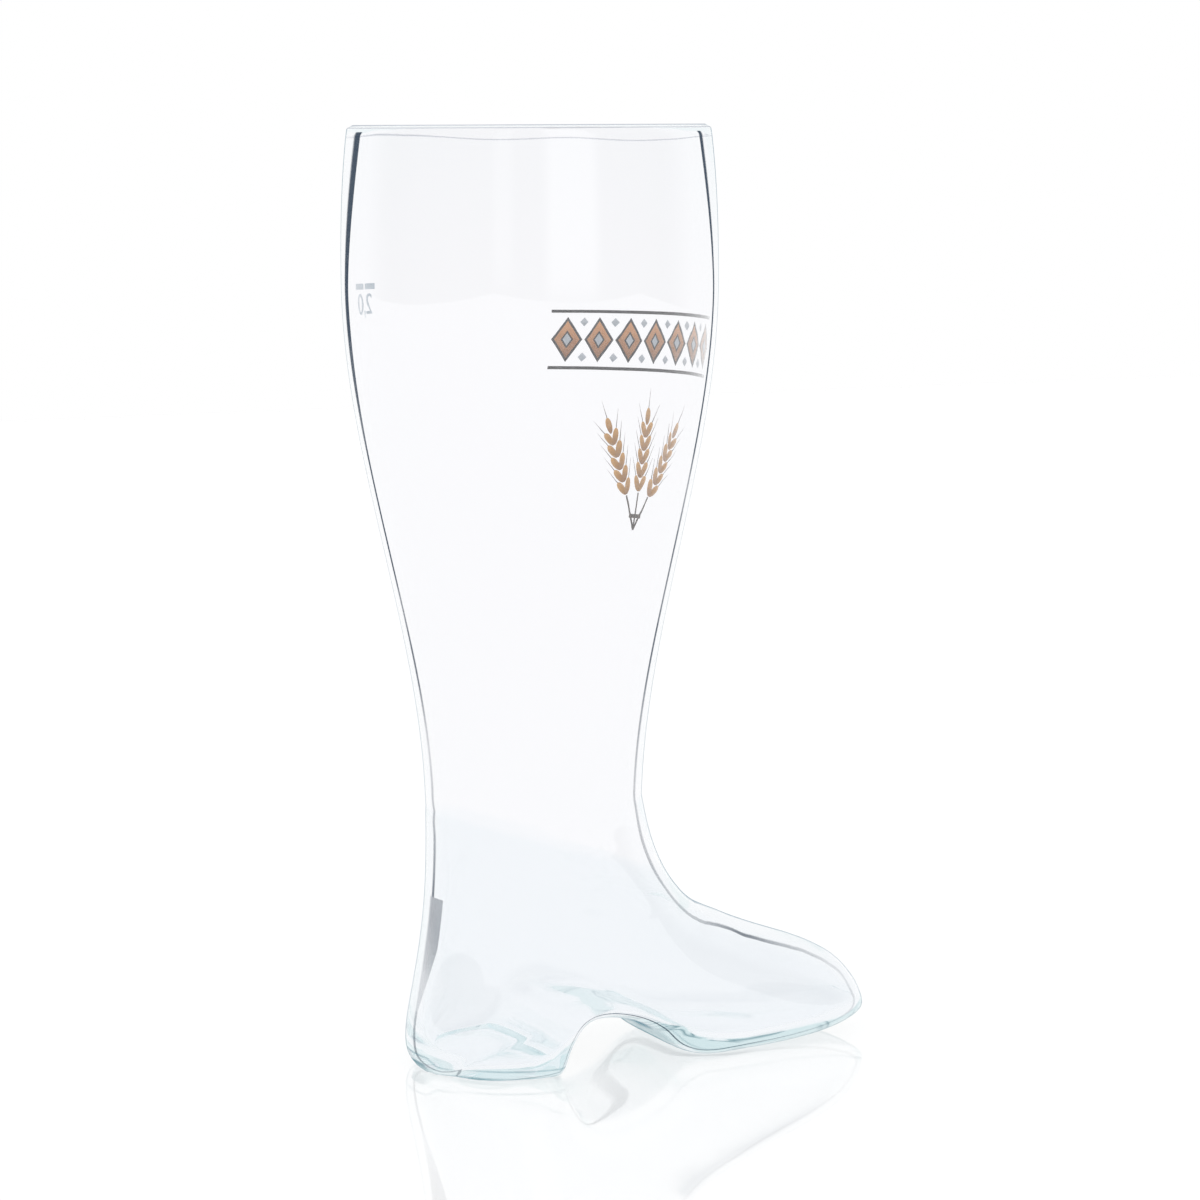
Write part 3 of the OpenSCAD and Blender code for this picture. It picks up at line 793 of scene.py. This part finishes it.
def makeGlassMaterial():
    material, tree, shader, out = newMaterial("clearGlass")
    path = outputsOf(addNode(tree, "ShaderNodeLightPath"))
    geometry = outputsOf(addNode(tree, "ShaderNodeNewGeometry"))
    at = whereOnGlass(tree)
    setGlassBody(tree, shader, out, at)

    # the edges, painted as emission on the first skin that is met: a dark line of painted shade along the
    # inner skin, and an outline, a painted reflection, that is pale on the leg and the instep, and dark where
    # the sole is thick
    edge = addNode(tree, "ShaderNodeGroup", {
        "Facing": put(tree, "LayerWeight", {"Blend": 0.5}, "Facing"),
        "Tangent": attribute(tree, "innerShare")}, node_tree=makeEdgeGroup())
    masks = outputsOf(edge)
    first = path["Transmission Depth"] < 0.5
    inside = attribute(tree, "inside")
    outside = first * (1.0 - inside)
    fading = noise(at["place"], paintedInnerLine["fadingSize"], Detail=1.0)
    line = masks["Line"] * placeInnerLine(edge, at, fading) * outside
    # the painted outline: pale as a painted reflection, darker at the thick sole as painted shade
    atSole = ramp(at["z"], outline["soleHeight"] * mm, outline["soleHeight"] / 2 * mm)
    outer = masks["Outline"] * mixNumbers(atSole, outline["strength"], outline["soleStrength"])
    outer = maths("MAXIMUM", soleLineMask(tree, geometry["Normal"], fading), outer) * outside
    rim, pale = rimMasks(at, first, inside, geometry["Backfacing"])
    surface = Field(shader.outputs[0])
    # each mask paints its colour over the glass as emission: painted shade, painted reflection and painted
    # highlight
    for mask, colour in ((line, paintedInnerLine["colour"]),
                         (outer, mixColours(atSole, outline["colour"], outline["soleColour"])),
                         (pale, paintedRimLines["paleColour"]), (rim, paintedRimLines["lineColour"])):
        surface = mixShaders(mask, surface, emission(tree, colour))

    # light that stays in the glass for many bounces is painted: a pale emission takes its place, not black
    v = paintedDeepLight
    lost = maths("MAXIMUM", path["Ray Depth"] > v["bounces"], path["Glossy Depth"] > v["mirrors"])
    surface = mixShaders(lost, surface, emission(tree, deepColour(at)))
    # clear glass throws only a pale shadow
    shadow = put(tree, "BsdfTransparent", {"Color": asColour((clearGlass["shadow"],) * 3)})
    thrown = maths("MAXIMUM", path["Is Shadow Ray"], path["Is Diffuse Ray"])
    setInputs(out, {"Surface": mixShaders(thrown, surface, shadow)})
    return material


# Print: flat artwork, x round the leg, y up, repeated and wrapped on the glass

bandPrint = {
    "azimuth": 20, "height": 262, "count": 7, "pitch": 13.2, "width": 12.4, "tall": 17,
    "frame": 1.1, "ruleHeight": 1.2, "ruleGap": 1.6, "stud": 3.4, "studShare": 0.55,
    "core": 0.42, "coreEdge": 1.16, "coreFrame": 0.8, "coreFill": 0.78,
}
sheafPrint = {
    "azimuth": 20, "height": 192, "stalk": 15, "stalkWidth": 0.9, "spread": 26, "pairs": 5,
    "grain": 6.4, "grainWidth": 2.5, "stepShare": 0.78, "sideShare": 0.62, "grainTurn": 24,
    "pointShare": 0.12, "awn": 7.5, "awnWidth": 0.28, "awnFoot": 0.42, "crease": 0.3, "creaseHalf": 0.09,
    "ears": 3, "bareShare": 0.92, "stalkTaper": 0.7, "tieWidth": 7, "tieHeight": 1.6, "tiePlace": 0.34,
}
fillMark = {
    "azimuth": 134, "height": 285, "barWidth": 8.4, "barHeight": 2.5, "pitchShare": 1.22,
    "digits": "2,0", "digitHeight": 8.5, "digitSize": 1.4, "digitDrop": 11.2,
}
film = {"thickness": 0.10, "gap": 0.03, "weld": 0.01, "fromAxis": 200}


def markHeight(geometry, tall):
    # how high each point lies in its motif, from 0 to 1, which shades the enamel
    height = split(putShape(geometry.tree, "InputPosition"))[1]
    return act(geometry, "StoreNamedAttribute", {
        "Name": "motifHeight", "Value": height / tall + 0.5}, data_type="FLOAT", domain="POINT")


def makeRowTree():
    # copies of a motif side by side, with optional rows above and below
    tree, start, end = newShapeTree(
        "motifRow", ("Int", "Count", "Lines"), ("Float", "Pitch", "Line Step", "Motif Height"))
    motif = markHeight(start["Geometry"], start["Motif Height"])
    index = putShape(tree, "InputIndex")
    column = maths("MODULO", index, start["Count"]) - (start["Count"] - 1.0) / 2.0
    line = maths("FLOOR", index / start["Count"]) - (start["Lines"] - 1.0) / 2.0
    points = putShape(tree, "Points", {"Count": start["Count"] * start["Lines"]})
    placed = act(points, "SetPosition", {
        "Position": join(tree, column * start["Pitch"], line * start["Line Step"])})
    closeTree(end, act(placed, "InstanceOnPoints", {"Instance": motif}))
    return tree


def makeEarTree():
    # grains in pairs up a stalk, one at the tip, and the whole ear turned round the sheaf's foot
    tree, start, end = newShapeTree(
        "barleyEar", ("Int", "Pairs", "Ears"),
        ("Float", "Step", "Stalk", "Side", "Grain Turn", "Spread", "Grain Length"))
    grain = markHeight(start["Geometry"], start["Grain Length"])
    index = putShape(tree, "InputIndex")
    count = start["Pairs"] * 2.0 + 1.0
    isTip = index + 0.5 > count - 1.0
    hand = (maths("MODULO", index, 2.0) * 2.0 - 1.0) * (1.0 - isTip)
    up = start["Stalk"] + (maths("FLOOR", index / 2.0) + 0.5) * start["Step"]
    placed = act(putShape(tree, "Points", {"Count": count}), "SetPosition", {
        "Position": join(tree, hand * start["Side"], up)})
    lean = join(tree, z=hand * start["Grain Turn"] * -1.0)
    grains = act(placed, "InstanceOnPoints", {"Instance": grain, "Rotation": lean})
    fan = (index - (start["Ears"] - 1.0) / 2.0) * start["Spread"]
    feet = putShape(tree, "Points", {"Count": start["Ears"]})
    closeTree(end, act(feet, "InstanceOnPoints", {
        "Instance": act(grains, "RealizeInstances"), "Rotation": join(tree, z=fan)}))
    return tree


def makeWrapTree():
    # thickens flat artwork and lays it on the glass at an azimuth and a height
    tree, start, end = newShapeTree(
        "wrapOnGlass", ("Object", "Glass"), ("Material", "Material"),
        ("Float", "Azimuth", "Height", "Thickness", "Gap"))
    raised = act(start["Geometry"], "ExtrudeMesh", {
        "Offset": (0.0, 0.0, 1.0), "Offset Scale": start["Thickness"], "Individual": False}, mode="FACES")
    closed = mergeParts(raised, act(start["Geometry"], "FlipFaces"), film["weld"] * mm)
    x, y, z = split(putShape(tree, "InputPosition"))
    level = y + start["Height"]
    east, north = maths("COSINE", start["Azimuth"]), maths("SINE", start["Azimuth"])
    away = film["fromAxis"] * mm
    hitX, hitY, _ = split(putShape(tree, "Raycast", {
        "Target Geometry": putShape(tree, "ObjectInfo", {"Object": start["Glass"]}, "Geometry"),
        "Source Position": join(tree, east * away, north * away, level),
        "Ray Direction": join(tree, east * -1.0, north * -1.0), "Ray Length": 1.0}, "Hit Position"))
    radius = maths("SQRT", hitX * hitX + hitY * hitY)
    turn = start["Azimuth"] + x / radius
    out = radius + start["Gap"] + z
    spot = join(tree, out * maths("COSINE", turn), out * maths("SINE", turn), level)
    closeTree(end, act(closed, "SetPosition", {"Position": spot}), start["Material"])
    return tree


def cutCells(work, cell):
    # cuts flat artwork into narrow cells, so that it can bend round the leg
    places = [v.co.x for v in work.verts]
    low, high = min(places), max(places)
    for i in range(1, int((high - low) / (cell * mm)) + 1):
        geometry = work.verts[:] + work.edges[:] + work.faces[:]
        spot = (low + i * cell * mm, 0, 0)
        bmesh.ops.bisect_plane(work, geom=geometry, dist=1e-7, plane_co=spot, plane_no=(1, 0, 0))


def finishArt(name, work):
    bmesh.ops.triangulate(work, faces=work.faces)
    mesh = bpy.data.meshes.new(name)
    work.to_mesh(mesh)
    work.free()
    return newPiece(name, mesh)


def flatArt(name, outlines, cell=1.2):
    # a flat mesh from outlines in millimetres, each with an inner outline or None
    work = bmesh.new()
    for outer, inner in outlines:
        a = [work.verts.new((x * mm, y * mm, 0)) for x, y in outer]
        if inner is None:
            work.faces.new(a)
            continue
        b = [work.verts.new((x * mm, y * mm, 0)) for x, y in inner]
        for i in range(len(a)):
            j = (i + 1) % len(a)
            work.faces.new([a[i], a[j], b[j], b[i]])
    cutCells(work, cell)
    bmesh.ops.recalc_face_normals(work, faces=work.faces)
    for face in work.faces:
        if face.normal.z < 0:
            face.normal_flip()
    return finishArt(name, work)


def diamond(width, height):
    return [(-width / 2, 0), (0, -height / 2), (width / 2, 0), (0, height / 2)]


def strip(width, height, x=0, y=0):
    return [(x - width / 2, y - height / 2), (x + width / 2, y - height / 2),
            (x + width / 2, y + height / 2), (x - width / 2, y + height / 2)]


def grainOutline(width, length, points=20):
    share = sheafPrint["pointShare"]
    turns = [2 * math.pi * i / points for i in range(points)]
    return [(-width / 2 * math.sin(a), length / 2 * math.cos(a) * (1 - share * math.cos(a))) for a in turns]


def wrapPiece(piece, tree, glassPiece, material, azimuth, height, lift=0.0):
    useTree(piece, tree, glass=glassPiece, azimuth=math.radians(azimuth), height=height * mm,
            thickness=film["thickness"] * mm, gap=(film["gap"] + lift) * mm, material=material)
    return bakeTrees(piece)


def makeBand(glassPiece, row, wrap, paints):
    b = bandPrint
    opening = (b["width"] - 2 * b["frame"], b["tall"] - 2 * (b["frame"] * b["tall"] / b["width"]))
    edge, inner, fill = (diamond(*(size * b["core"] * b[share] for size in opening))
                         for share in ("coreEdge", "coreFrame", "coreFill"))
    outer, stud = diamond(b["width"], b["tall"]), diamond(b["stud"], b["stud"])
    span, ruleMiddle = b["count"] * b["pitch"], b["tall"] / 2 + b["ruleGap"] + b["ruleHeight"] / 2
    rules = [(strip(span, b["ruleHeight"], 0, side * ruleMiddle), None) for side in (-1, 1)]
    repeated = {"count": b["count"], "pitch": b["pitch"] * mm, "lines": 1, "motifHeight": b["tall"] * mm}
    between = {"count": b["count"] - 1, "pitch": b["pitch"] * mm, "lines": 2, "motifHeight": b["stud"] * mm,
               "lineStep": 2 * (b["tall"] / 2 - b["stud"] * b["studShare"]) * mm}
    pieces = {}
    for name, outlines, cell, copies, paint in (
            ("Lozenges", [(diamond(*opening), edge)], 1.2, repeated, "copper"),
            ("Frames", [(outer, diamond(*opening)), (edge, inner)], 1.2, repeated, "black"),
            ("Studs", [(stud, None)], 0.8, between, "silver"),
            ("Rules", rules, 1.2, None, "black"),
            ("Cores", [(fill, None)], 1.2, repeated, "silver")):
        piece = flatArt("print" + name, outlines, cell)
        if copies:
            useTree(piece, row, **copies)
        pieces[name.lower()] = wrapPiece(piece, wrap, glassPiece, paints[paint], b["azimuth"], b["height"])
    print("band:", b["count"], "lozenges wrapped")
    return pieces


def makeSheaf(glassPiece, ear, wrap, paints):
    s = sheafPrint
    sizes = {"pairs": s["pairs"], "step": s["grain"] * s["stepShare"] * mm, "stalk": s["stalk"] * mm,
             "side": s["grainWidth"] * s["sideShare"] * mm, "grainTurn": math.radians(s["grainTurn"]),
             "ears": s["ears"], "spread": math.radians(s["spread"]), "grainLength": s["grain"] * mm}
    grains = flatArt("printGrains", [(grainOutline(s["grainWidth"], s["grain"]), None)], 0.6)
    # an awn above each grain and a crease on it
    foot, half = s["grain"] * s["awnFoot"], s["awnWidth"] / 2
    crease, thin = s["grain"] * s["crease"], s["creaseHalf"]
    awns = flatArt("printAwns", [([(-half, foot), (half, foot), (0, foot + s["awn"])], None),
                                 ([(-thin, -crease), (thin, -crease), (0, crease)], None)])
    for piece in (grains, awns):
        useTree(piece, ear, **sizes)
    bare, rod = s["stalk"] * s["bareShare"], s["stalkWidth"] / 2
    top = rod * s["stalkTaper"]
    outlines = []
    for i in range(s["ears"]):
        turn = math.radians((i - (s["ears"] - 1) / 2) * s["spread"])
        c, n = math.cos(turn), math.sin(turn)
        outlines.append(([(x * c - y * n, x * n + y * c) for x, y in (
            (-rod, 0), (rod, 0), (top, bare), (-top, bare))], None))
    outlines.append((strip(s["stalkWidth"] * s["tieWidth"], s["stalkWidth"] * s["tieHeight"],
                           0, s["stalk"] * s["tiePlace"]), None))
    stalks = flatArt("printStalks", outlines, 0.9)
    for piece, paint, lift in (
            (grains, "gold", 0.0), (awns, "brown", film["thickness"]), (stalks, "brown", 0.0)):
        wrapPiece(piece, wrap, glassPiece, paints[paint], s["azimuth"], s["height"], lift)
    print("sheaf:", s["ears"] * (2 * s["pairs"] + 1), "grains wrapped")
    return {"grains": grains, "awns": awns, "stalks": stalks}


def makeFillMark(glassPiece, wrap, paints):
    f = fillMark
    pitch = f["barWidth"] * f["pitchShare"]
    bars = flatArt("capacityBars", [
        (strip(f["barWidth"], f["barHeight"], side * pitch / 2), None) for side in (-1, 1)])
    wrapPiece(bars, wrap, glassPiece, paints["pale"], f["azimuth"], f["height"])
    words = bpy.data.curves.new("capacityDigits", "FONT")
    words.body = f["digits"]
    words.size = f["digitHeight"] * mm * f["digitSize"]
    words.align_x = "CENTER"
    words.resolution_u = 6
    written = newPiece("capacityDigits", words)
    graph = bpy.context.evaluated_depsgraph_get()
    flat = bpy.data.meshes.new_from_object(written.evaluated_get(graph))
    work = bmesh.new()
    work.from_mesh(flat)
    bpy.data.objects.remove(written)
    bpy.data.meshes.remove(flat)
    bmesh.ops.remove_doubles(work, verts=work.verts, dist=1e-6)
    cutCells(work, 0.8)
    digits = finishArt("capacityDigits", work)
    wrapPiece(digits, wrap, glassPiece, paints["pale"], f["azimuth"], f["height"] - f["digitDrop"])
    print("fill mark: bars and", f["digits"])
    return {"bars": bars, "digits": digits}


# Floor, light and camera

photoView = {
    "distance": 1350, "eyeHeight": 343, "sideShift": 24.8, "turn": 25, "pitch": 7.28, "roll": -0.25,
    "focalPixels": 3726, "imagePixels": 1200, "filmWidth": 36, "nearest": 50,
}
studio = {
    "floorSize": 6.0, "floorDrop": 0.2, "floorGlow": 0.10, "floorGrey": 0.90, "floorRoughness": 0.03,
    "floorGloss": 1.9, "softLight": 0.95, "throughGlass": (0.975, 0.970, 0.991),
    "ceiling": (0.36, 0.42, 0.49), "ceilingLow": 22, "ceilingHigh": 50, "sheen": 0.16,
    "lampPower": 2.0, "lampSize": 1.0, "lampTurn": 150, "lampAway": 0.9, "lampHeight": 1.5, "lampAim": 0.15,
}
# bright windows that only gloss sees, by direction from the boot: turn from the camera's direction
windows = {
    "rightWindow": {"turn": 27, "half": 11, "soft": 9, "low": 0, "high": 50, "strength": 1.10},
    "leftWindow": {"turn": -15, "half": 3, "soft": 5, "low": 0, "high": 50, "strength": 0.55},
    "backdrop": {"turn": 180, "half": 60, "soft": 35, "low": -90, "high": 90, "strength": 0.84},
}


def makeFloor():
    # glossy and pale; through glass the even white of the backdrop is seen in its place
    half = studio["floorSize"] / 2
    corners = [(-half, -half, 0), (half, -half, 0), (half, half, 0), (-half, half, 0)]
    floor = makePiece("floor", corners, [(0, 1, 2, 3)])
    floor.location.z = -studio["floorDrop"] * mm
    material, tree, shader, out = newMaterial("paleFloor")
    setInputs(shader, {"Base Color": (studio["floorGrey"],) * 3 + (1,), "Roughness": studio["floorRoughness"],
                       "IOR": studio["floorGloss"]})
    glow = emission(tree, (1, 1, 1), studio["floorGlow"])
    setInputs(out, {"Surface": put(tree, "AddShader", {0: Field(shader.outputs[0]), 1: glow})})
    floor.data.materials.append(material)
    floor.visible_transmission = False


def makeWindowGroup():
    # 1 inside a window of directions, falling softly to 0 round it
    tree, start, end = newTree("window", "ShaderNodeTree", [
        ("Direction", "Vector", (0, 0, 1)), ("Azimuth", "Float", 0.0), ("Half Width", "Float", 0.2),
        ("Softness", "Float", 0.1), ("Low", "Float", 0.0), ("High", "Float", 0.8)], [("Inside", "Float")])
    x, y, z = split(start["Direction"])
    away, rise = turnApart(maths("ARCTAN2", y, x), start["Azimuth"]), maths("ARCSINE", z)
    across = ramp(away, start["Half Width"] + start["Softness"], start["Half Width"], soft=True)
    above = ramp(rise, start["Low"] - start["Softness"], start["Low"], soft=True)
    below = ramp(rise, start["High"] + start["Softness"], start["High"], soft=True)
    setInputs(end, {"Inside": across * (above * below)})
    return tree


def background(tree, colour=(1, 1, 1), strength=1.0):
    return put(tree, "Background", {"Color": asColour(colour), "Strength": strength})


def makeWorld():
    # white for the camera, white under a darker ceiling through glass, soft windows for what the glass
    # mirrors, plain white for the floor's gloss, and soft light for the rest
    scene.world = bpy.data.worlds.new("studio")
    scene.world.use_nodes = True
    tree = scene.world.node_tree
    tree.nodes.clear()
    path = outputsOf(addNode(tree, "ShaderNodeLightPath"))
    through = path["Is Transmission Ray"]
    direction = put(tree, "TexCoord", None, "Generated")
    group = makeWindowGroup()
    sheen = studio["sheen"]
    for values in windows.values():
        window = put(tree, "Group", {
            "Direction": direction, "Azimuth": math.radians(-90 - photoView["turn"] + values["turn"]),
            "Half Width": math.radians(values["half"]), "Softness": math.radians(values["soft"]),
            "Low": math.radians(values["low"]), "High": math.radians(values["high"])}, node_tree=group)
        sheen = window * values["strength"] + sheen
    overhead = ramp(maths("ARCSINE", split(direction)[2]), math.radians(studio["ceilingLow"]),
                    math.radians(studio["ceilingHigh"]), soft=True)
    seen = mixColours(through, (1, 1, 1), mixColours(overhead, studio["throughGlass"], studio["ceiling"]))
    straight = maths("MAXIMUM", path["Is Camera Ray"], through)
    plain = mixShaders(straight, background(tree, strength=studio["softLight"]), background(tree, seen))
    gloss = mixShaders(path["Is Singular Ray"], background(tree), background(tree, strength=sheen))
    light = mixShaders(path["Is Glossy Ray"] * (1.0 - through), plain, gloss)
    addNode(tree, "ShaderNodeOutputWorld", {0: light})


def makeLamp():
    light = bpy.data.lights.new("topLamp", "AREA")
    light.shape = "RECTANGLE"
    light.size = light.size_y = studio["lampSize"]
    light.energy = studio["lampPower"]
    lamp = newPiece("topLamp", light)
    # its turn counts clockwise from straight behind the leg's axis as the camera looks
    angle = math.radians(90 - photoView["turn"] - studio["lampTurn"])
    away = studio["lampAway"]
    lamp.location = (legAhead * mm + away * math.cos(angle), away * math.sin(angle), studio["lampHeight"])
    target = Vector((legAhead * mm, 0, studio["lampAim"]))
    lamp.rotation_euler = (target - lamp.location).to_track_quat("-Z", "Y").to_euler()
    lamp.visible_glossy = False
    lamp.visible_transmission = False


def makeCamera():
    v = photoView
    turn = math.radians(v["turn"])
    forward = Vector((math.sin(turn), math.cos(turn), 0))
    right = Vector((math.cos(turn), -math.sin(turn), 0))
    place = (-forward * v["distance"] + right * v["sideShift"] + Vector((legAhead, 0, v["eyeHeight"]))) * mm
    pitch = math.radians(v["pitch"])
    look = forward * math.cos(pitch) - Vector((0, 0, math.sin(pitch)))
    data = bpy.data.cameras.new("camera")
    data.sensor_width = v["filmWidth"]
    data.lens = data.sensor_width * v["focalPixels"] / v["imagePixels"]
    data.clip_start = v["nearest"] * mm
    camera = newPiece("camera", data)
    turned = look.to_track_quat("-Z", "Y").to_matrix().to_4x4()
    roll = Matrix.Rotation(math.radians(v["roll"]), 4, "Z")
    camera.matrix_world = Matrix.Translation(place) @ turned @ roll
    scene.camera = camera


makeCamera()
makeWorld()
makeFloor()
makeLamp()
print("studio ready")

enamelGroup = makeEnamelGroup()
paints = {name: makeEnamel(name, enamelGroup) for name in enamels}
bootGlass = makeGlass(makeGlassMaterial())
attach(bootGlass, "root")
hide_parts("leg_tube", "foot_shell")

rowTree = makeRowTree()
earTree = makeEarTree()
wrapTree = makeWrapTree()
band = makeBand(bootGlass, rowTree, wrapTree, paints)
sheaf = makeSheaf(bootGlass, earTree, wrapTree, paints)
mark = makeFillMark(bootGlass, wrapTree, paints)

printed = [
    (band["lozenges"], "copper_enamel", "print_lozenges"), (band["frames"], "black_enamel", "print_frames"),
    (band["studs"], "silver_enamel", "print_studs"), (sheaf["grains"], "gold_enamel", "print_grains"),
    (sheaf["stalks"], "brown_enamel", "print_stalks"), (mark["bars"], "pale_enamel", "capacity_bars"),
    (band["rules"], "black_enamel", None), (band["cores"], "silver_enamel", None),
    (sheaf["awns"], "brown_enamel", None), (mark["digits"], "pale_enamel", None)]
# the leg's axis moves from the origin to its place
place = Matrix.Translation((legAhead * mm, 0, 0))
bootGlass.data.transform(place)
for piece, slot, node in printed:
    piece.data.transform(place)
    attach(piece, "root")
    if node:
        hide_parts(node)
    print(piece.name, len(piece.data.polygons), "faces")
